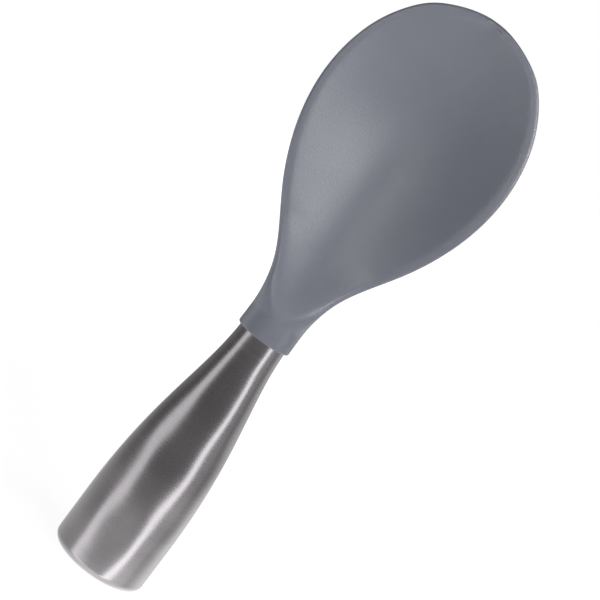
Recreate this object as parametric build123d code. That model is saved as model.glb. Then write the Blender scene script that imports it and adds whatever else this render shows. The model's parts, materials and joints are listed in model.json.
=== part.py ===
from build123d import *

import os
from math import cos, hypot, pi, sin, sqrt

# A rice paddle that stands on its own base: a moulded nylon head on a hollow steel handle.
# +Z runs up the handle's axis, the origin is the middle of the flat base,
# +X is the paddle's right and the hollow of the head faces -Y. Lengths are millimetres.

# Whole paddle
total_height = 235.0

# Handle shell, a tube necked in from the grip to the mouth
grip_radius = 18.3
mouth_radius = 9.4
shell_wall = 0.8
mouth_height = 106.0
mouth_land = 3.0
taper_bottom = 19.0
taper_lower_pull = 43.0
taper_upper_pull = 23.5

# Base cap, a shallow drawn cup welded to the shell's lower end
cap_height = 6.0
cap_wall = 1.0
cap_corner_radius = 3.0

# Ballast, a turned steel slug bonded into the cap
ballast_height = 8.0
ballast_side_gap = 0.25
ballast_chamfer = 2.4
ballast_edge = 0.5
pad_thickness = 1.0
pad_margin = 0.8

# Paddle head: collar, neck and blade
collar_overlap = 5.5
collar_fit = 0.1
collar_edge_radius = 0.7
neck_rise = 2.0
neck_radius = 10.55
collar_flare = 0.1
neck_step = 0.03
head_width = 75.8
blade_thickness = 3.4
bowl_setback = 4.0
rim_lead = 4.5
tip_lead = 3.2
lip_width = 3.0

# Spigot under the head, the part that goes down into the shell's mouth
spigot_length = 15.0
spigot_fit = 0.1
spigot_lead_in = 0.8

# Seal ring between the shell's mouth and the head
seal_thickness = 1.2
seal_side_gap = 0.05

# Tang rod moulded into the neck, and what draws it down
rod_radius = 3.0
rod_rise = 19.0
rod_tail = 21.0
rod_end_chamfer = 0.5
groove_depth = 0.6
groove_width = 1.8
groove_pitch = 4.5
groove_count = 3
groove_top_margin = 3.0
clamp_drop = 2.0
clamp_height = 10.0
clamp_side_gap = 0.05
clamp_bore_gap = 0.2
washer_radius = 6.0
washer_thickness = 1.6
washer_bore_gap = 0.2
nut_across_flats = 10.0
nut_height = 5.0
nut_bore_gap = 0.05

# Outline of the blade seen from the front: height up the blade, and the half
# width there as a share of the blade's half width
outline_shares = (
    (0.131, 0.350),
    (0.245, 0.555),
    (0.327, 0.720),
    (0.408, 0.847),
    (0.489, 0.936),
    (0.570, 0.988),
    (0.650, 1.000),
    (0.730, 0.969),
    (0.810, 0.889),
    (0.889, 0.739),
    (0.937, 0.592),
    (0.972, 0.392),
)

# Middle of the bowl seen from the side: height up the blade, and how far the
# front surface has gone back from the neck's front to the bowl's setback
bowl_shares = (
    (0.140, 0.350),
    (0.265, 0.685),
    (0.420, 0.890),
    (0.640, 1.000),
    (0.820, 0.780),
)

# Places up the blade, as shares of its height: where the rim is furthest forward,
# where the neck's rim is square, where the blade has its full lens section, and
# where the neck's spine has run out into the blade
rim_lead_share = 0.500
square_start_share = 0.100
lens_start_share = 0.276
spine_end_share = 0.646

# Powers that round a rim: 2 is an ellipse, and more is squarer
neck_rim_power = 2.0
blade_rim_power = 5.0

# Sections of the blade, evenly spaced along its outline up to one close to the tip,
# with narrow straight bands between them
section_count = 41
last_section_share = 0.993

# Near the tip a section cuts the rim at a slant, and widens it no further than this
least_slant_share = 0.05

# The lip comes no nearer the middle than this share of the section's half width
least_lip_share = 0.3

# Across the hollow two even slopes meet in a round bottom, as wide as this share of them
hollow_round_share = 0.50

# Points along the front or back of a section between its lips, and round each rim
face_point_count = 9
rim_point_count = 13

# Middle of a rounded edge, as an angle
edge_middle = pi / 4

# A tool that cuts runs this far past the faces it cuts
overrun = 5.0

collar_height = mouth_height - collar_overlap
taper_top = mouth_height - mouth_land
neck_height = mouth_height + neck_rise
spigot_bottom = mouth_height - spigot_length
clamp_top = spigot_bottom - clamp_drop
rod_top = neck_height + rod_rise
rod_bottom = clamp_top - rod_tail
half_width = head_width / 2
blade_height = total_height - neck_height
rim_radius = blade_thickness / 2
bisection_steps = 40


def ease(height, start, end):
    """Smooth step from 0 at start to 1 at end."""
    share = min(max((height - start) / (end - start), 0), 1)
    return share * share * (3 - 2 * share)


def blade_ease(height, start_share, end_share):
    """Smooth step between two shares of the blade's height."""
    start = neck_height + start_share * blade_height
    end = neck_height + end_share * blade_height
    return ease(height, start, end)


def point_at_height(line, height):
    """Point of a rising line at a height, found by halving."""
    low, high = 0.0, 1.0
    for _ in range(bisection_steps):
        middle = (low + high) / 2
        if (line @ middle).Z < height:
            low = middle
        else:
            high = middle
    return line @ ((low + high) / 2)


def revolved(*edges):
    """Solid turned about Z from a closed half section in the XZ plane."""
    return revolve(make_face(Curve() + list(edges)), Axis.Z)


def turned(*points):
    """Solid turned about Z through straight-sided (radius, height) points."""
    corners = [Vector(radius, 0, height) for radius, height in points]
    return revolved(*Polyline(*corners, close=True).edges())


def side_line(inset):
    """The shell's side from grip to mouth, moved inwards by an inset."""
    lower = grip_radius - inset
    upper = mouth_radius - inset
    return Bezier(
        (lower, 0, taper_bottom),
        (lower, 0, taper_bottom + taper_lower_pull),
        (upper, 0, taper_top - taper_upper_pull),
        (upper, 0, taper_top),
    )


def side_form(inset, bottom, top):
    """Solid of the shell's side form, moved inwards by an inset."""
    lower = grip_radius - inset
    upper = mouth_radius - inset
    return revolved(
        Line((0, 0, bottom), (lower, 0, bottom)),
        Line((lower, 0, bottom), (lower, 0, taper_bottom)),
        side_line(inset),
        Line((upper, 0, taper_top), (upper, 0, top)),
        Line((upper, 0, top), (0, 0, top)),
        Line((0, 0, top), (0, 0, bottom)),
    )


def handle_shell():
    outside = side_form(0, cap_height, mouth_height)
    inside = side_form(shell_wall, cap_height - overrun, mouth_height + overrun)
    return outside - inside


def base_cap():
    flat_radius = grip_radius - cap_corner_radius
    inner_radius = grip_radius - cap_wall
    inner_corner = cap_corner_radius - cap_wall
    quarter = cos(edge_middle)
    return revolved(
        Line((0, 0, 0), (flat_radius, 0, 0)),
        ThreePointArc(
            (flat_radius, 0, 0),
            (flat_radius + cap_corner_radius * quarter, 0, cap_corner_radius * (1 - quarter)),
            (grip_radius, 0, cap_corner_radius),
        ),
        Line((grip_radius, 0, cap_corner_radius), (grip_radius, 0, cap_height)),
        Line((grip_radius, 0, cap_height), (inner_radius, 0, cap_height)),
        Line((inner_radius, 0, cap_height), (inner_radius, 0, cap_corner_radius)),
        ThreePointArc(
            (inner_radius, 0, cap_corner_radius),
            (flat_radius + inner_corner * quarter, 0, cap_corner_radius - inner_corner * quarter),
            (flat_radius, 0, cap_wall),
        ),
        Line((flat_radius, 0, cap_wall), (0, 0, cap_wall)),
        Line((0, 0, cap_wall), (0, 0, 0)),
    )


def ballast_pad():
    pad_radius = grip_radius - cap_corner_radius - pad_margin
    return turned(
        (0, cap_wall),
        (pad_radius, cap_wall),
        (pad_radius, cap_wall + pad_thickness),
        (0, cap_wall + pad_thickness),
    )


def ballast_slug():
    radius = grip_radius - max(shell_wall, cap_wall) - ballast_side_gap
    bottom = cap_wall + pad_thickness
    top = bottom + ballast_height
    return turned(
        (0, bottom),
        (radius - ballast_chamfer, bottom),
        (radius, bottom + ballast_chamfer),
        (radius, top - ballast_edge),
        (radius - ballast_edge, top),
        (0, top),
    )


def tang_rod():
    rod = turned(
        (0, rod_bottom),
        (rod_radius - rod_end_chamfer, rod_bottom),
        (rod_radius, rod_bottom + rod_end_chamfer),
        (rod_radius, rod_top - rod_end_chamfer),
        (rod_radius - rod_end_chamfer, rod_top),
        (0, rod_top),
    )
    for index in range(groove_count):
        top = rod_top - groove_top_margin - index * groove_pitch
        rod -= turned(
            (rod_radius - groove_depth, top - groove_width),
            (rod_radius + groove_depth, top - groove_width),
            (rod_radius + groove_depth, top),
            (rod_radius - groove_depth, top),
        )
    return rod


def clamp_cone():
    core = side_form(shell_wall + clamp_side_gap, cap_height, mouth_height)
    bottom = clamp_top - clamp_height
    bore = rod_radius + clamp_bore_gap
    band = turned(
        (bore, bottom),
        (grip_radius, bottom),
        (grip_radius, clamp_top),
        (bore, clamp_top),
    )
    return core & band


def clamp_washer():
    top = clamp_top - clamp_height
    bore = rod_radius + washer_bore_gap
    return turned(
        (bore, top - washer_thickness),
        (washer_radius, top - washer_thickness),
        (washer_radius, top),
        (bore, top),
    )


def lock_nut():
    top = clamp_top - clamp_height - washer_thickness
    corner_radius = nut_across_flats / sqrt(3)
    hexagon = RegularPolygon(radius=corner_radius, side_count=6)
    body = Pos(0, 0, top - nut_height) * extrude(hexagon, nut_height)
    bore = Pos(0, 0, top - nut_height / 2) * Cylinder(rod_radius + nut_bore_gap, nut_height + overrun)
    return body - bore


def seal_ring():
    inner = mouth_radius - shell_wall - spigot_fit + seal_side_gap
    outer = mouth_radius + collar_fit - seal_side_gap
    return turned(
        (inner, mouth_height),
        (outer, mouth_height),
        (outer, mouth_height + seal_thickness),
        (inner, mouth_height + seal_thickness),
    )


def blade_outline():
    """Right half of the blade's outline, from the neck to the tip."""
    points = [(neck_radius, 0, neck_height)]
    for height_share, width_share in outline_shares:
        points.append((width_share * half_width, 0, neck_height + height_share * blade_height))
    points.append((0, 0, total_height))
    return Spline(*points, tangents=((0, 0, 1), (-1, 0, 0)), tangent_scalars=(1, 1))


def bowl_line():
    """Middle of the blade's front surface, seen from the side."""
    points = [(0, -neck_radius, neck_height)]
    for height_share, back_share in bowl_shares:
        depth = -neck_radius + back_share * (neck_radius + bowl_setback)
        points.append((0, depth, neck_height + height_share * blade_height))
    points.append((0, -tip_lead - rim_radius, total_height))
    last_way = Vector(*points[-1]) - Vector(*points[-2])
    return Spline(*points, tangents=((0, 0, 1), last_way), tangent_scalars=(1, 1))


def rim_line():
    """Middle of the rim, seen from the side."""
    return Spline(
        (0, 0, neck_height),
        (0, -rim_lead, neck_height + rim_lead_share * blade_height),
        (0, -tip_lead, total_height),
        tangents=((0, 0, 1), (0, 0, 1)),
        tangent_scalars=(1, 1),
    )


def hollow_depth(across_share):
    """Depth of the hollow as a share of its depth in the middle."""
    widest = hypot(1, hollow_round_share)
    slant = hypot(across_share, hollow_round_share)
    return max(widest - slant, 0) / (widest - hollow_round_share)


def section_wire(height, reach, spread, front, back, rim, thickness_share):
    """Closed section of the head, as four edges: front, left rim, back, right rim.

    reach is the half width, spread how much the rim is widened because the
    section cuts it at a slant, and front, back and rim are places along Y.
    """
    lens = blade_ease(height, 0, lens_start_share)
    square = blade_ease(height, 0, square_start_share)
    power = neck_rim_power + (blade_rim_power - neck_rim_power) * square
    rim_width = min(reach * (1 - lens) + lip_width * spread * lens, reach)
    half_rim = (neck_radius * (1 - lens) + rim_radius * lens) * thickness_share
    lip_place = max(reach - lip_width * spread, least_lip_share * reach)

    def rim_depth(place):
        into_rim = max(abs(place) - reach + rim_width, 0) / rim_width
        return half_rim * max(1 - into_rim**power, 0) ** (1 / power)

    def front_point(place):
        hollow = hollow_depth(place / lip_place) * (front - rim + half_rim)
        return Vector(place, rim - rim_depth(place) + hollow, height)

    def back_point(place):
        bulge = hollow_depth(place / reach) * (back - rim - half_rim)
        return Vector(place, rim + rim_depth(place) + bulge, height)

    def mirrored(points):
        return [Vector(-point.X, point.Y, point.Z) for point in points]

    across = [2 * index / (face_point_count - 1) - 1 for index in range(face_point_count)]
    fronts = [front_point(lip_place * share) for share in across]
    backs = [back_point(-lip_place * share) for share in across]
    rims = []
    for index in range(rim_point_count):
        angle = pi * index / (rim_point_count - 1)
        place = lip_place + (reach - lip_place) * sin(angle)
        rims.append(front_point(place) if angle < pi / 2 else back_point(place))
    return Wire([Spline(*fronts), Spline(*rims), Spline(*backs), Spline(*mirrored(rims)[::-1])])


def blade_section(outline, bowl, rims, place):
    """Section of the blade at a share of its outline's length."""
    corner = outline @ place
    way = outline % place
    height = corner.Z
    spread = 1 / max(way.Z, least_slant_share)
    below_tip = total_height - height
    round_off = 1.0
    if below_tip < rim_radius:
        round_off = sqrt(1 - (1 - below_tip / rim_radius) ** 2)
    spine = 2 * neck_radius - blade_thickness
    thickness = blade_thickness + spine * (1 - blade_ease(height, 0, spine_end_share)) ** 3
    front = point_at_height(bowl, height).Y
    middle = front + thickness / 2
    rim = point_at_height(rims, height).Y
    half_thickness = thickness / 2 * round_off
    return section_wire(
        height, corner.X, spread, middle - half_thickness, middle + half_thickness, rim, round_off
    )


def blade_form():
    """The head above the neck."""
    outline = blade_outline()
    bowl = bowl_line()
    rims = rim_line()
    step = last_section_share / (section_count - 1)
    sections = [blade_section(outline, bowl, rims, step * index) for index in range(section_count)]
    return Solid.make_loft(sections, ruled=True)


def collar_form():
    """The head up to the neck: collar outside the shell's mouth, spigot inside it."""
    bore_top = mouth_height + seal_thickness
    collar_bore = mouth_radius + collar_fit
    spigot_radius = mouth_radius - shell_wall - spigot_fit
    outer = neck_radius + collar_flare
    quarter = collar_edge_radius * cos(edge_middle)
    corner = (outer - collar_edge_radius + quarter, 0, collar_height + collar_edge_radius - quarter)
    edge_start = (outer - collar_edge_radius, 0, collar_height)
    edge_end = (outer, 0, collar_height + collar_edge_radius)
    side = Polyline(
        edge_end,
        (neck_radius + neck_step, 0, neck_height),
        (0, 0, neck_height),
        (0, 0, spigot_bottom),
        (spigot_radius - spigot_lead_in, 0, spigot_bottom),
        (spigot_radius, 0, spigot_bottom + spigot_lead_in),
        (spigot_radius, 0, bore_top),
        (collar_bore, 0, bore_top),
        (collar_bore, 0, collar_height),
        edge_start,
    )
    return revolved(side, ThreePointArc(edge_start, corner, edge_end))


def paddle_head(rod):
    return blade_form() + collar_form() - rod


def write(name, shape):
    shape.label = name
    export_step(shape, f"parts/{name}.step")


def main():
    os.makedirs("parts", exist_ok=True)
    rod = tang_rod()
    pieces = {
        "paddle_head": paddle_head(rod),
        "tang_rod": rod,
        "seal_ring": seal_ring(),
        "handle_shell": handle_shell(),
        "clamp_cone": clamp_cone(),
        "clamp_washer": clamp_washer(),
        "lock_nut": lock_nut(),
        "ballast_slug": ballast_slug(),
        "ballast_pad": ballast_pad(),
        "base_cap": base_cap(),
    }
    for name, shape in pieces.items():
        write(name, shape)


main()
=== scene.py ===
import json
from collections import namedtuple
from math import cos, hypot, pi, radians, sin, sqrt

import bmesh
import bpy
import numpy as np
from mathutils import Matrix, Vector

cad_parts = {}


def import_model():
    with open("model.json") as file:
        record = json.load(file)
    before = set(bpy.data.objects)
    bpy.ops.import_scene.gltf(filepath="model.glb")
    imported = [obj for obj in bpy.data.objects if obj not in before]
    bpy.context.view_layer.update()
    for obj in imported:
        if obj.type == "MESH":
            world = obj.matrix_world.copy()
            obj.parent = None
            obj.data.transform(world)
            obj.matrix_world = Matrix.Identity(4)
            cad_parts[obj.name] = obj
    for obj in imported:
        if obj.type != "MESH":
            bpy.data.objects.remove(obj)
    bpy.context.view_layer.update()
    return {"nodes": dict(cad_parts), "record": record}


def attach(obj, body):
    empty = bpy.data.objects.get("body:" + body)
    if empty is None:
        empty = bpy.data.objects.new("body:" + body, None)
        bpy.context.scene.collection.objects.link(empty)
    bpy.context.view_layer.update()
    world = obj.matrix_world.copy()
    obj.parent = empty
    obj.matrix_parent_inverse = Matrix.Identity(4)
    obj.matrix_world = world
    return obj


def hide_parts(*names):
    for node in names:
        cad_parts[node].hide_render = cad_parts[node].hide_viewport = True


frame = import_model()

# A rice paddle that stands on its base, seen from the side that its hollow faces.
# The frame's +Z runs up the handle, +X is the paddle's right, and lengths are metres.

MM = 0.001

# Photograph: the camera's place relative to the paddle and the frame's size in pixels
photo_pixels = 600
focal_pixels = 1517
sensor_width = 36.0
camera_distance = 528.8 * MM
camera_elevation = radians(6.4)
camera_height = 118.96 * MM
camera_side_step = 2.40 * MM
camera_clip_start = 1 * MM
lean_right = radians(36.75)

# Handle, a steel tube necked in from the grip to the mouth, and the cap that closes it
grip_radius = 18.3 * MM
mouth_radius = 9.4 * MM
shell_wall = 0.8 * MM
mouth_height = 106 * MM
mouth_land = 3 * MM
taper_bottom = 19 * MM
taper_lower_pull = 43 * MM
taper_upper_pull = 23.5 * MM
cap_height = 6 * MM
cap_wall = 1 * MM
cap_corner_radius = 3 * MM

# Paddle head: collar, neck and blade
total_height = 235 * MM
collar_overlap = 5.5 * MM
collar_fit = 0.1 * MM
collar_edge_radius = 0.7 * MM
collar_flare = 0.1 * MM
neck_rise = 2 * MM
neck_radius = 10.55 * MM
head_width = 75.8 * MM
blade_thickness = 3.4 * MM
bowl_setback = 4 * MM
rim_lead = 4.5 * MM
tip_lead = 3.2 * MM
lip_width = 3 * MM

# Spigot under the head, and the seal between the handle's mouth and the head
spigot_length = 15 * MM
spigot_fit = 0.1 * MM
spigot_lead_in = 0.8 * MM
seal_thickness = 1.2 * MM

# Outline of the blade seen from the front: height up the blade, and the half width there
# as a share of the blade's half width
outline_shares = (
    (0.131, 0.350), (0.245, 0.555), (0.327, 0.720), (0.408, 0.847),
    (0.489, 0.936), (0.570, 0.988), (0.650, 1.000), (0.730, 0.969),
    (0.810, 0.889), (0.889, 0.739), (0.937, 0.592), (0.972, 0.392),
)

# Middle of the bowl seen from the side: height up the blade, and how far the front surface
# has gone back from the neck's front to the bowl's setback
bowl_shares = ((0.140, 0.350), (0.265, 0.685), (0.420, 0.890), (0.640, 1.000), (0.820, 0.780))

# Places up the blade, as shares of its height: where the rim is furthest forward, where the
# neck's rim is square, where the blade has its full lens section, and where the neck's spine
# has run out into the blade
rim_lead_share = 0.500
square_start_share = 0.100
lens_start_share = 0.276
spine_end_share = 0.646

# Powers that round a rim, where 2 is an ellipse and more is squarer, and the power that
# thins the spine out, where more is quicker
neck_rim_power = 2.0
blade_rim_power = 5.0
spine_power = 3

# Near the tip a section cuts the rim at a slant, and widens it no further than this
least_slant_share = 0.05

# The lip comes no nearer the middle than this share of the section's half width
least_lip_share = 0.3

# Across the hollow two even slopes meet in a round bottom, as wide as this share of them
hollow_round_share = 0.50

# Softness of the hollow's edge along the lip, and how much softer it is at the neck
lip_softness = 0.035
neck_softness = 0.90

# How finely the meshes are divided. The blade's rows lie closer together towards the tip, by
# a power of more than 1, and an edge is sharp from the given angle on.
blade_rows = 360
tip_crowding = 1.3
face_columns = 72
rim_columns = 28
lathe_columns = 256
taper_rows = 96
corner_rows = 12
height_search_steps = 40
sharp_angle = radians(40)

# Nylon: colours as 8-bit display values, and the grain that the mould left
nylon_ior = 1.6
nylon_specular = 1
nylon_dark = (112, 115, 128)
nylon_pale = (116, 119, 132)
nylon_patch_scale = 45
nylon_patch_detail = 3
nylon_roughness = (0.30, 0.44)
grain_scale = 2200
grain_detail = 1
grain_strength = 0.60
grain_depth = 0.07 * MM

# Steel: colours as 8-bit display values, fine lines brushed round the handle, and slow waves
# of its surface. The brush's turn is a share of a whole turn.
steel_dark = (178, 174, 177)
steel_pale = (194, 190, 193)
steel_roughness = (0.25, 0.29)
steel_anisotropy = 0.3
steel_brush_turn = 0.25
brush_stretch = (60, 60, 16000)
brush_scale = 1.0
brush_detail = 2
brush_strength = 0.02
brush_depth = 0.004 * MM
wave_stretch = (1, 1, 0.6)
wave_scale = 42
wave_detail = 1
wave_strength = 0.30
wave_depth = 10 * MM

# Plain finishes of the pieces inside: material slot, name, colour, roughness, metallic
inner_finishes = (
    ("rod_steel", "Rod_steel", (0.6, 0.6, 0.61, 1), 0.3, 1),
    ("cone_plastic", "Cone_plastic", (0.75, 0.75, 0.72, 1), 0.5, 0),
    ("seal_rubber", "Seal_rubber", (0.12, 0.12, 0.12, 1), 0.6, 0),
    ("ballast_iron", "Ballast_iron", (0.3, 0.3, 0.31, 1), 0.5, 1),
    ("pad_rubber", "Pad_rubber", (0.2, 0.2, 0.2, 1), 0.7, 0),
)
plain_patch_scale = 400
plain_darkening = 0.06
plain_roughness_spread = 0.08
plain_grain_scale = 1600
plain_grain_strength = 0.15
plain_grain_depth = 0.02 * MM

# Noises: a scale that is alike in all directions, and the part of a noise's values that is
# spread over the whole of what it changes
even_stretch = (1, 1, 1)
noise_reach = (0.3, 0.7)

# Softboxes round the paddle's middle. Angles are degrees: azimuth from the front and positive
# to the right, elevation above the level, and lean about the softbox's own axis. The strips
# light only the steel and the others only the head and the floor, so that each has its own
# reflections. A softbox for matt light only shows in no reflection.
lamp_distance = 1.0
Softbox = namedtuple(
    "Softbox",
    "name azimuth elevation lean radiance width height distance matt_only",
    defaults=(lamp_distance, False),
)
steel_softboxes = (
    Softbox("Strip_right", 57, -6, 28, 1.85, 0.27, 1.80),
    Softbox("Strip_edge", 86, -4, 21, 0.20, 0.40, 1.80),
    Softbox("Strip_left", -59, -6, -33, 0.95, 0.36, 1.80),
)
head_softboxes = (
    Softbox("Key_right", 74, 28, 0, 2.35, 0.44, 1.30),
    Softbox("Panel_right", 37, 24, 0, 5.6, 0.46, 0.36),
    Softbox("Panel_left", -22, 20, 0, 2.3, 0.38, 0.26),
    Softbox("Top_front", 5, 48, 0, 0.60, 0.70, 0.35),
    Softbox("Fill_neck", -50, 0, 0, 2.5, 0.04, 0.04, distance=0.09, matt_only=True),
    Softbox("Fill_left", -100, 4, 0, 0.55, 0.70, 1.20),
    Softbox("Front", 5, 8, 0, 0.68, 0.90, 0.32),
)

# The room, white to the camera. Each reach is a pair of values of a direction's part across,
# along or up, and the light rises to its full level from the first to the second.
camera_white = 1

# Even light that matt surfaces get from the left and from behind
ambient_left = 0.13
ambient_left_reach = (0, -1)
ambient_back = 0.60
ambient_back_reach = (0.1, 0.9)

# What metal sees of the room: dim, with a paler floor and back
room_dim = 0.12
room_floor = 0.60
room_floor_reach = (-0.1, -0.35)
room_under = 0.50
room_under_reach = (-0.35, -0.85)
floor_left_share = 0.80
floor_left_reach = (-0.9, 0)
room_back_reach = (0.1, 0.75)
room_back_left = 0.10
room_back_right = 0.50
room_side_reach = (-0.7, 0.7)

# Floor: how far it glows to the camera, less near the paddle, where its shadow has to show
floor_half_size = 6.0
floor_colour = (0.9, 0.9, 0.9, 1)
floor_glow = 1.2
floor_glow_reach = (0.15, 0.60)
floor_glow_near_share = 0.75

# Numbers of the colour mix node's sockets, because they share their names with others
mix_factor, mix_first, mix_second, mix_result = 0, 6, 7, 2

# Worked out from the sizes above
taper_top = mouth_height - mouth_land
collar_bottom = mouth_height - collar_overlap
collar_radius = neck_radius + collar_flare
collar_bore = mouth_radius + collar_fit
bore_top = mouth_height + seal_thickness
spigot_bottom = mouth_height - spigot_length
spigot_radius = mouth_radius - shell_wall - spigot_fit
neck_height = mouth_height + neck_rise
blade_height = total_height - neck_height
rim_radius = blade_thickness / 2


def ease(share):
    """Smooth step from 0 to 1."""
    share = min(max(share, 0), 1)
    return share * share * (3 - 2 * share)


def blade_ease(height, start_share, end_share):
    """Smooth step between two shares of the blade's height."""
    place = (height - neck_height) / blade_height
    return ease((place - start_share) / (end_share - start_share))


class Line:
    """Smooth line through points, with a given direction at both ends."""

    def __init__(self, points, start_way, end_way):
        self.points = np.array(points, float)
        steps = np.linalg.norm(np.diff(self.points, axis=0), axis=1)
        self.places = np.concatenate([[0], np.cumsum(steps)])
        count = len(points)
        system = np.eye(count)
        ways = np.zeros_like(self.points)
        ways[0] = start_way
        ways[-1] = np.array(end_way) / np.linalg.norm(end_way)
        for i in range(1, count - 1):
            before, after = steps[i - 1], steps[i]
            system[i, i - 1 : i + 2] = after, 2 * (before + after), before
            rise_before = (self.points[i] - self.points[i - 1]) / before
            rise_after = (self.points[i + 1] - self.points[i]) / after
            ways[i] = 3 * (after * rise_before + before * rise_after)
        self.ways = np.linalg.solve(system, ways)

    def at(self, share):
        """Point and direction at a share of the line's length."""
        place = share * self.places[-1]
        i = int(np.searchsorted(self.places, place, side="right")) - 1
        i = min(i, len(self.places) - 2)
        step = self.places[i + 1] - self.places[i]
        t = (place - self.places[i]) / step
        start, end = self.points[i], self.points[i + 1]
        start_way, end_way = self.ways[i] * step, self.ways[i + 1] * step
        point = (
            (1 + 2 * t) * (1 - t) ** 2 * start
            + t * (1 - t) ** 2 * start_way
            + t * t * (3 - 2 * t) * end
            + t * t * (t - 1) * end_way
        )
        way = (
            6 * t * (t - 1) * (start - end)
            + (1 - t) * (1 - 3 * t) * start_way
            + t * (3 * t - 2) * end_way
        )
        return point, way / np.linalg.norm(way)

    def depth_at(self, height):
        """First coordinate where the line rises through a height."""
        low, high = 0.0, 1.0
        for _ in range(height_search_steps):
            middle = (low + high) / 2
            if self.at(middle)[0][1] < height:
                low = middle
            else:
                high = middle
        return self.at(low)[0][0]


def outline_line():
    """Half width and height, from the neck to the tip."""
    points = [(neck_radius, neck_height)]
    for height_share, width_share in outline_shares:
        height = neck_height + height_share * blade_height
        points.append((width_share * head_width / 2, height))
    points.append((0, total_height))
    return Line(points, (0, 1), (-1, 0))


def bowl_line():
    """Depth and height of the bowl's middle, seen from the side."""
    points = [(-neck_radius, neck_height)]
    for height_share, back_share in bowl_shares:
        depth = -neck_radius + back_share * (neck_radius + bowl_setback)
        points.append((depth, neck_height + height_share * blade_height))
    points.append((-tip_lead - rim_radius, total_height))
    last_way = np.subtract(points[-1], points[-2])
    return Line(points, (0, 1), last_way)


def rim_line():
    """Depth and height of the rim's middle, seen from the side."""
    middle = (-rim_lead, neck_height + rim_lead_share * blade_height)
    return Line([(0, neck_height), middle, (-tip_lead, total_height)], (0, 1), (0, 1))


def hollow_depth(across_share):
    """Depth of the hollow as a share of its depth in the middle."""
    widest = hypot(1, hollow_round_share)
    slant = hypot(across_share, hollow_round_share)
    return (widest - slant) / (widest - hollow_round_share)


def section_points(height, reach, spread, front, back, rim, thickness_share):
    """Closed section of the blade: front, right rim, back and left rim, as points.

    The section reaches to either side, its rim is widened by the spread, and its depths are
    those of the front and back in the middle and of the rim's middle.
    """
    lens = blade_ease(height, 0, lens_start_share)
    square = blade_ease(height, 0, square_start_share)
    power = neck_rim_power + (blade_rim_power - neck_rim_power) * square
    rim_width = min(reach * (1 - lens) + lip_width * spread * lens, reach)
    half_rim = (neck_radius * (1 - lens) + rim_radius * lens) * thickness_share
    lip_place = max(reach - lip_width * spread, least_lip_share * reach)

    def rim_depth(place):
        into_rim = max(abs(place) - reach + rim_width, 0) / rim_width
        return half_rim * max(1 - into_rim**power, 0) ** (1 / power)

    def front_point(place):
        inside = hollow_depth(place / lip_place)
        to_edge = min((reach - abs(place)) / (reach - lip_place), 1)
        softness = lip_softness + neck_softness * (1 - lens) * to_edge
        soft = (inside + hypot(inside, softness)) / (1 + hypot(1, softness))
        return (place, rim - rim_depth(place) + soft * (front - rim + half_rim), height)

    def back_point(place):
        bulge = hollow_depth(place / reach) * (back - rim - half_rim)
        return (place, rim + rim_depth(place) + bulge, height)

    faces = [lip_place * (2 * i / face_columns - 1) for i in range(face_columns)]
    rims = []
    for i in range(rim_columns):
        angle = pi * i / rim_columns
        rims.append((lip_place + (reach - lip_place) * sin(angle), angle < pi / 2))
    fronts = [front_point(place) for place in faces]
    right = [front_point(place) if ahead else back_point(place) for place, ahead in rims]
    backs = [back_point(-place) for place in faces]
    left = [back_point(-place) if ahead else front_point(-place) for place, ahead in rims]
    return fronts + right + backs + left


def blade_section(lines, place):
    """Section of the blade at a share of its outline's length."""
    outline, bowl, rims = lines
    (reach, height), way = outline.at(place)
    spread = 1 / max(way[1], least_slant_share)
    below_tip = total_height - height
    round_off = 1.0
    if below_tip < rim_radius:
        round_off = sqrt(max(1 - (1 - below_tip / rim_radius) ** 2, 0))
    spine = 2 * neck_radius - blade_thickness
    spine_share = (1 - blade_ease(height, 0, spine_end_share)) ** spine_power
    thickness = blade_thickness + spine * spine_share
    middle = bowl.depth_at(height) + thickness / 2
    rim = rims.depth_at(height)
    half = thickness / 2 * round_off
    return section_points(height, reach, spread, middle - half, middle + half, rim, round_off)


def placed(name, data):
    """New object in the scene."""
    obj = bpy.data.objects.new(name, data)
    bpy.context.scene.collection.objects.link(obj)
    return obj


def skin(name, rows, ends=()):
    """Closed mesh over rows of points: a ring, or with a point at either end."""
    columns = len(rows[0])
    count = len(rows)
    points = [point for row in rows for point in row] + list(ends)
    faces = []
    for r in range(count - 1 if ends else count):
        s = (r + 1) % count
        for c in range(columns):
            d = (c + 1) % columns
            faces.append((r * columns + c, r * columns + d, s * columns + d, s * columns + c))
    if ends:
        first, last = len(points) - 2, len(points) - 1
        start = (count - 1) * columns
        faces += [(first, (c + 1) % columns, c) for c in range(columns)]
        faces += [(last, start + c, start + (c + 1) % columns) for c in range(columns)]
    mesh = bpy.data.meshes.new(name)
    mesh.from_pydata(points, [], faces)
    work = bmesh.new()
    work.from_mesh(mesh)
    bmesh.ops.recalc_face_normals(work, faces=work.faces)
    work.to_mesh(mesh)
    work.free()
    mesh.shade_smooth()
    mesh.set_sharp_from_angle(angle=sharp_angle)
    return placed(name, mesh)


def arc(centre_radius, centre_height, radius, start, end):
    """Points (radius, height) round a corner in a half section."""
    angles = [start + (end - start) * i / corner_rows for i in range(corner_rows + 1)]
    return [(centre_radius + radius * cos(a), centre_height + radius * sin(a)) for a in angles]


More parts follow.
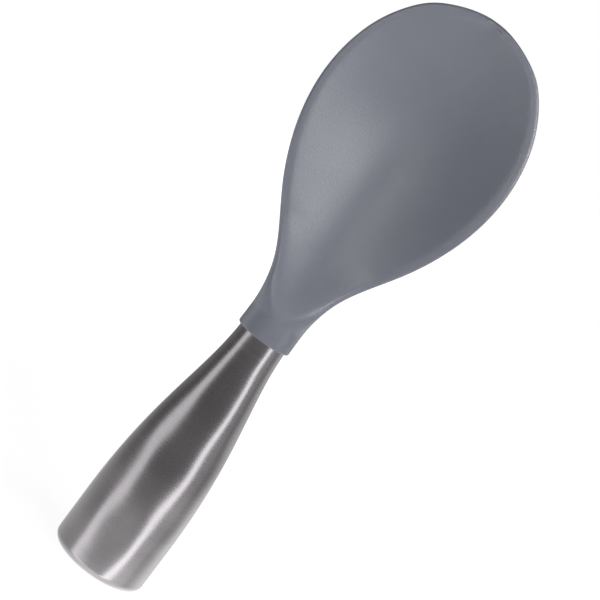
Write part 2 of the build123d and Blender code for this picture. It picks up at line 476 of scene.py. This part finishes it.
def paddle_head():
    """Spigot, collar, neck and blade, from below to the tip."""
    lines = outline_line(), bowl_line(), rim_line()
    places = [1 - (1 - i / blade_rows) ** tip_crowding for i in range(blade_rows)]
    blade = [blade_section(lines, place) for place in places]
    round_row = [(x / neck_radius, y / neck_radius) for x, y, z in blade[0]]

    side = [
        (spigot_radius - spigot_lead_in, spigot_bottom),
        (spigot_radius, spigot_bottom + spigot_lead_in),
        (spigot_radius, bore_top),
        (collar_bore, bore_top),
        (collar_bore, collar_bottom),
    ]
    edge = collar_radius - collar_edge_radius, collar_bottom + collar_edge_radius
    side += arc(*edge, collar_edge_radius, -pi / 2, 0)
    collar = [[(x * radius, y * radius, height) for x, y in round_row] for radius, height in side]
    tip = (0, lines[2].at(1)[0][0], total_height)
    return skin("Paddle_head", collar + blade, ((0, 0, spigot_bottom), tip))


def turned(profile):
    """Rows of points round Z, one for each (radius, height) of a profile."""
    angles = [2 * pi * c / lathe_columns for c in range(lathe_columns)]
    ring = [(cos(angle), sin(angle)) for angle in angles]
    return [[(radius * x, radius * y, height) for x, y in ring] for radius, height in profile]


def side_profile(inset):
    """The shell's side from the grip up to the mouth, moved inwards by an inset."""
    lower, upper = grip_radius - inset, mouth_radius - inset
    lower_pull, upper_pull = taper_bottom + taper_lower_pull, taper_top - taper_upper_pull
    heights = (taper_bottom, lower_pull, upper_pull, taper_top)
    profile = []
    for i in range(taper_rows + 1):
        t = i / taper_rows
        weights = ((1 - t) ** 3, 3 * t * (1 - t) ** 2, 3 * t * t * (1 - t), t**3)
        radius = lower * (weights[0] + weights[1]) + upper * (weights[2] + weights[3])
        profile.append((radius, sum(w * h for w, h in zip(weights, heights))))
    return profile


def handle_shell():
    """Necked tube, open at both ends."""
    outside = [(grip_radius, cap_height)] + side_profile(0) + [(mouth_radius, mouth_height)]
    inside = [(grip_radius - shell_wall, cap_height)] + side_profile(shell_wall)
    inside.append((mouth_radius - shell_wall, mouth_height))
    return skin("Handle_shell", turned(outside + inside[::-1]))


def base_cap():
    """Shallow cup that closes the shell's lower end."""
    flat_radius = grip_radius - cap_corner_radius
    inner_corner = cap_corner_radius - cap_wall
    outside = arc(flat_radius, cap_corner_radius, cap_corner_radius, -pi / 2, 0)
    outside.append((grip_radius, cap_height))
    inside = [(grip_radius - cap_wall, cap_height)]
    inside += arc(flat_radius, cap_corner_radius, inner_corner, 0, -pi / 2)
    return skin("Base_cap", turned(outside + inside), ((0, 0, 0), (0, 0, cap_wall)))


def add_node(tree, kind, values=None):
    """New node with some of its inputs set."""
    node = tree.nodes.new(kind)
    for name, value in (values or {}).items():
        node.inputs[name].default_value = value
    return node


def cleared(owner):
    """Empty node tree of a material or a world."""
    owner.use_nodes = True
    owner.node_tree.nodes.clear()
    return owner.node_tree


def new_material(name, values):
    """Material with one principled shader, whose uniform values are given."""
    material = bpy.data.materials.new(name)
    tree = cleared(material)
    output = add_node(tree, "ShaderNodeOutputMaterial")
    shader = add_node(tree, "ShaderNodeBsdfPrincipled", values)
    tree.links.new(shader.outputs["BSDF"], output.inputs["Surface"])
    return material, tree, shader


def linear(red, green, blue):
    """Linear colour from 8-bit display values."""
    values = []
    for value in (red, green, blue):
        share = value / 255
        values.append(share / 12.92 if share <= 0.04045 else ((share + 0.055) / 1.055) ** 2.4)
    return (*values, 1)


def noise(tree, stretch, scale, detail=2.0):
    """Noise in the object's own coordinates, stretched along its axes."""
    place = add_node(tree, "ShaderNodeTexCoord")
    mapping = add_node(tree, "ShaderNodeMapping", {"Scale": stretch})
    texture = add_node(tree, "ShaderNodeTexNoise", {"Scale": scale, "Detail": detail})
    tree.links.new(place.outputs["Object"], mapping.inputs["Vector"])
    tree.links.new(mapping.outputs["Vector"], texture.inputs["Vector"])
    return texture.outputs["Fac"]


def rise(tree, value, reach, low, high, interpolation="SMOOTHSTEP"):
    """Rise from low to high while a value goes through a reach."""
    start, end = reach
    values = {"From Min": start, "From Max": end, "To Min": low, "To Max": high}
    node = add_node(tree, "ShaderNodeMapRange", values)
    node.interpolation_type = interpolation
    tree.links.new(value, node.inputs["Value"])
    return node.outputs["Result"]


def spread_noise(tree, value, low, high):
    """A noise's values, spread between two others."""
    return rise(tree, value, noise_reach, low, high, "LINEAR")


def blend(tree, value, first, second):
    """A colour between two, by a noise."""
    node = add_node(tree, "ShaderNodeMix")
    node.data_type = "RGBA"
    node.inputs[mix_first].default_value = first
    node.inputs[mix_second].default_value = second
    tree.links.new(spread_noise(tree, value, 0, 1), node.inputs[mix_factor])
    return node.outputs[mix_result]


def mixed(tree, share, first, second):
    """The first shader at a share of 0, and the second at a share of 1."""
    node = add_node(tree, "ShaderNodeMixShader")
    tree.links.new(share, node.inputs[0])
    tree.links.new(first, node.inputs[1])
    tree.links.new(second, node.inputs[2])
    return node.outputs["Shader"]


def combined(tree, operation, first, second):
    """Sum or product of two values."""
    node = add_node(tree, "ShaderNodeMath")
    node.operation = operation
    tree.links.new(first, node.inputs[0])
    tree.links.new(second, node.inputs[1])
    return node.outputs[0]


def bump(tree, shader, heights):
    """Bumps of given (height, strength, distance), one on the other."""
    below = None
    for height, strength, distance in heights:
        node = add_node(tree, "ShaderNodeBump", {"Strength": strength, "Distance": distance})
        tree.links.new(height, node.inputs["Height"])
        if below:
            tree.links.new(below, node.inputs["Normal"])
        below = node.outputs["Normal"]
    tree.links.new(below, shader.inputs["Normal"])


def plain_material(name, colour, roughness, metallic):
    """A plain finish with slight changes of colour and roughness and a fine grain."""
    material, tree, shader = new_material(name, {"Metallic": metallic})
    patches = noise(tree, even_stretch, plain_patch_scale)
    darker = tuple(channel * (1 - plain_darkening) for channel in colour[:3]) + (1,)
    tree.links.new(blend(tree, patches, darker, colour), shader.inputs["Base Color"])
    smooth, rough = 1 - plain_roughness_spread, 1 + plain_roughness_spread
    changes = spread_noise(tree, patches, roughness * smooth, roughness * rough)
    tree.links.new(changes, shader.inputs["Roughness"])
    grain = noise(tree, even_stretch, plain_grain_scale)
    bump(tree, shader, [(grain, plain_grain_strength, plain_grain_depth)])
    return material


def nylon_material():
    """Grey nylon with a fine moulded grain."""
    values = {"IOR": nylon_ior, "Specular IOR Level": nylon_specular}
    material, tree, shader = new_material("Head_nylon", values)
    patches = noise(tree, even_stretch, nylon_patch_scale, nylon_patch_detail)
    shades = blend(tree, patches, linear(*nylon_dark), linear(*nylon_pale))
    tree.links.new(shades, shader.inputs["Base Color"])
    grain = noise(tree, even_stretch, grain_scale, grain_detail)
    tree.links.new(spread_noise(tree, grain, *nylon_roughness), shader.inputs["Roughness"])
    bump(tree, shader, [(grain, grain_strength, grain_depth)])
    return material


def handle_material():
    """Steel brushed round the handle, not perfectly even."""
    values = {
        "Metallic": 1,
        "Anisotropic": steel_anisotropy,
        "Anisotropic Rotation": steel_brush_turn,
    }
    material, tree, shader = new_material("Handle_steel", values)
    tangent = add_node(tree, "ShaderNodeTangent")
    tangent.direction_type = "RADIAL"
    tangent.axis = "Z"
    tree.links.new(tangent.outputs["Tangent"], shader.inputs["Tangent"])
    lines = noise(tree, brush_stretch, brush_scale, brush_detail)
    shades = blend(tree, lines, linear(*steel_dark), linear(*steel_pale))
    tree.links.new(shades, shader.inputs["Base Color"])
    tree.links.new(spread_noise(tree, lines, *steel_roughness), shader.inputs["Roughness"])
    waves = noise(tree, wave_stretch, wave_scale, wave_detail)
    brushed = (lines, brush_strength, brush_depth)
    bump(tree, shader, [(waves, wave_strength, wave_depth), brushed])
    return material


def inner_materials():
    """Finishes of the pieces inside, by the record's material slots."""
    made = {slot: plain_material(*finish) for slot, *finish in inner_finishes}
    for part in frame["record"]["subparts"]:
        if part["material_slot"] in made:
            node = frame["nodes"][part["node"]]
            for slot in node.material_slots:
                slot.material = made[part["material_slot"]]


def dress(obj, material, node):
    """Puts a piece in a node's place."""
    obj.data.materials.append(material)
    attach(obj, "root")
    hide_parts(node)


def camera():
    """Camera at the photograph's place, rolled so that the paddle leans to the right."""
    upright = Vector((0, sin(camera_elevation), cos(camera_elevation)))
    back = Vector((0, -cos(camera_elevation), sin(camera_elevation)))
    right = Vector((cos(lean_right), 0, 0)) + upright * sin(lean_right)
    up = upright * cos(lean_right) - Vector((sin(lean_right), 0, 0))
    data = bpy.data.cameras.new("Camera")
    data.lens = focal_pixels * sensor_width / photo_pixels
    data.sensor_width = sensor_width
    data.clip_start = camera_clip_start
    obj = placed("Camera", data)
    place = Vector((camera_side_step, 0, camera_height)) + back * camera_distance
    turn = Matrix((right, up, back)).transposed().to_4x4()
    obj.matrix_world = Matrix.Translation(place) @ turn
    bpy.context.scene.camera = obj


def lamp(box, lit_pieces):
    """Lamp of a softbox, which faces the paddle's middle and lights only some pieces."""
    azimuth, elevation = radians(box.azimuth), radians(box.elevation)
    data = bpy.data.lights.new(box.name, "AREA")
    data.shape = "RECTANGLE"
    data.size = box.width
    data.size_y = box.height
    data.energy = box.radiance * pi * box.width * box.height
    obj = placed(box.name, data)
    level = cos(elevation)
    out = Vector((sin(azimuth) * level, -cos(azimuth) * level, sin(elevation)))
    across = Vector((cos(azimuth), sin(azimuth), 0))
    turn = Matrix((across, out.cross(across), out)).transposed()
    turn = turn @ Matrix.Rotation(-radians(box.lean), 3, "Z")
    middle = Vector((0, 0, camera_height))
    obj.matrix_world = Matrix.Translation(middle + out * box.distance) @ turn.to_4x4()
    obj.visible_camera = False
    obj.visible_glossy = not box.matt_only
    obj.light_linking.receiver_collection = lit_pieces


def lamps(collection_name, softboxes, pieces):
    """Softboxes that light only the given pieces."""
    lit_pieces = bpy.data.collections.new(collection_name)
    for obj in pieces:
        lit_pieces.objects.link(obj)
    for box in softboxes:
        lamp(box, lit_pieces)


def world():
    """White to the camera, even to matt surfaces, and a dim room with a pale back to metal."""
    made = bpy.data.worlds.new("Room")
    bpy.context.scene.world = made
    tree = cleared(made)
    output = add_node(tree, "ShaderNodeOutputWorld")
    rays = add_node(tree, "ShaderNodeLightPath")
    place = add_node(tree, "ShaderNodeTexCoord")
    parts = add_node(tree, "ShaderNodeSeparateXYZ")
    tree.links.new(place.outputs["Generated"], parts.inputs["Vector"])
    across, along, up = parts.outputs

    back = rise(tree, along, room_back_reach, 0, 1)
    side = rise(tree, across, room_side_reach, room_back_left, room_back_right)
    below = rise(tree, up, room_floor_reach, room_dim, room_floor)
    under = rise(tree, up, room_under_reach, 0, room_under)
    left_share = rise(tree, across, floor_left_reach, floor_left_share, 1)
    below = combined(tree, "MULTIPLY", combined(tree, "ADD", below, under), left_share)
    room_level = combined(tree, "ADD", below, combined(tree, "MULTIPLY", back, side))

    from_left = rise(tree, across, ambient_left_reach, 0, ambient_left)
    from_back = rise(tree, along, ambient_back_reach, 0, ambient_back)
    even_level = combined(tree, "ADD", from_left, from_back)

    def background(level=None):
        values = {"Color": (1, 1, 1, 1), "Strength": camera_white}
        node = add_node(tree, "ShaderNodeBackground", values)
        if level:
            tree.links.new(level, node.inputs["Strength"])
        return node.outputs["Background"]

    even, room, white = background(even_level), background(room_level), background()
    unseen = mixed(tree, rays.outputs["Is Glossy Ray"], even, room)
    surface = mixed(tree, rays.outputs["Is Camera Ray"], unseen, white)
    tree.links.new(surface, output.inputs["Surface"])


def floor():
    """Large white floor that keeps the paddle's shadow."""
    size = floor_half_size
    mesh = bpy.data.meshes.new("Floor")
    corners = [(-size, -size, 0), (size, -size, 0), (size, size, 0), (-size, size, 0)]
    mesh.from_pydata(corners, [], [(0, 1, 2, 3)])
    obj = placed("Floor", mesh)
    material = bpy.data.materials.new("Floor_white")
    tree = cleared(material)
    output = add_node(tree, "ShaderNodeOutputMaterial")
    cover = add_node(tree, "ShaderNodeBsdfDiffuse", {"Color": floor_colour})
    glow = add_node(tree, "ShaderNodeEmission", {"Strength": floor_glow})
    rays = add_node(tree, "ShaderNodeLightPath")
    place = add_node(tree, "ShaderNodeTexCoord")
    away = add_node(tree, "ShaderNodeVectorMath")
    away.operation = "LENGTH"
    tree.links.new(place.outputs["Object"], away.inputs[0])
    glow_share = rise(tree, away.outputs["Value"], floor_glow_reach, floor_glow_near_share, 1)
    share = combined(tree, "MULTIPLY", rays.outputs["Is Camera Ray"], glow_share)
    surface = mixed(tree, share, cover.outputs["BSDF"], glow.outputs["Emission"])
    tree.links.new(surface, output.inputs["Surface"])
    mesh.materials.append(material)
    obj.visible_glossy = False
    obj.visible_shadow = False
    return obj


camera()
world()
steel = handle_material()
head, shell, cap = paddle_head(), handle_shell(), base_cap()
dress(head, nylon_material(), "paddle_head")
dress(shell, steel, "handle_shell")
dress(cap, steel, "base_cap")
inner_materials()
ground = floor()
lamps("On_steel", steel_softboxes, (shell, cap))
lamps("Off_steel", head_softboxes, (head, ground))

bpy.context.scene.view_settings.view_transform = "Standard"
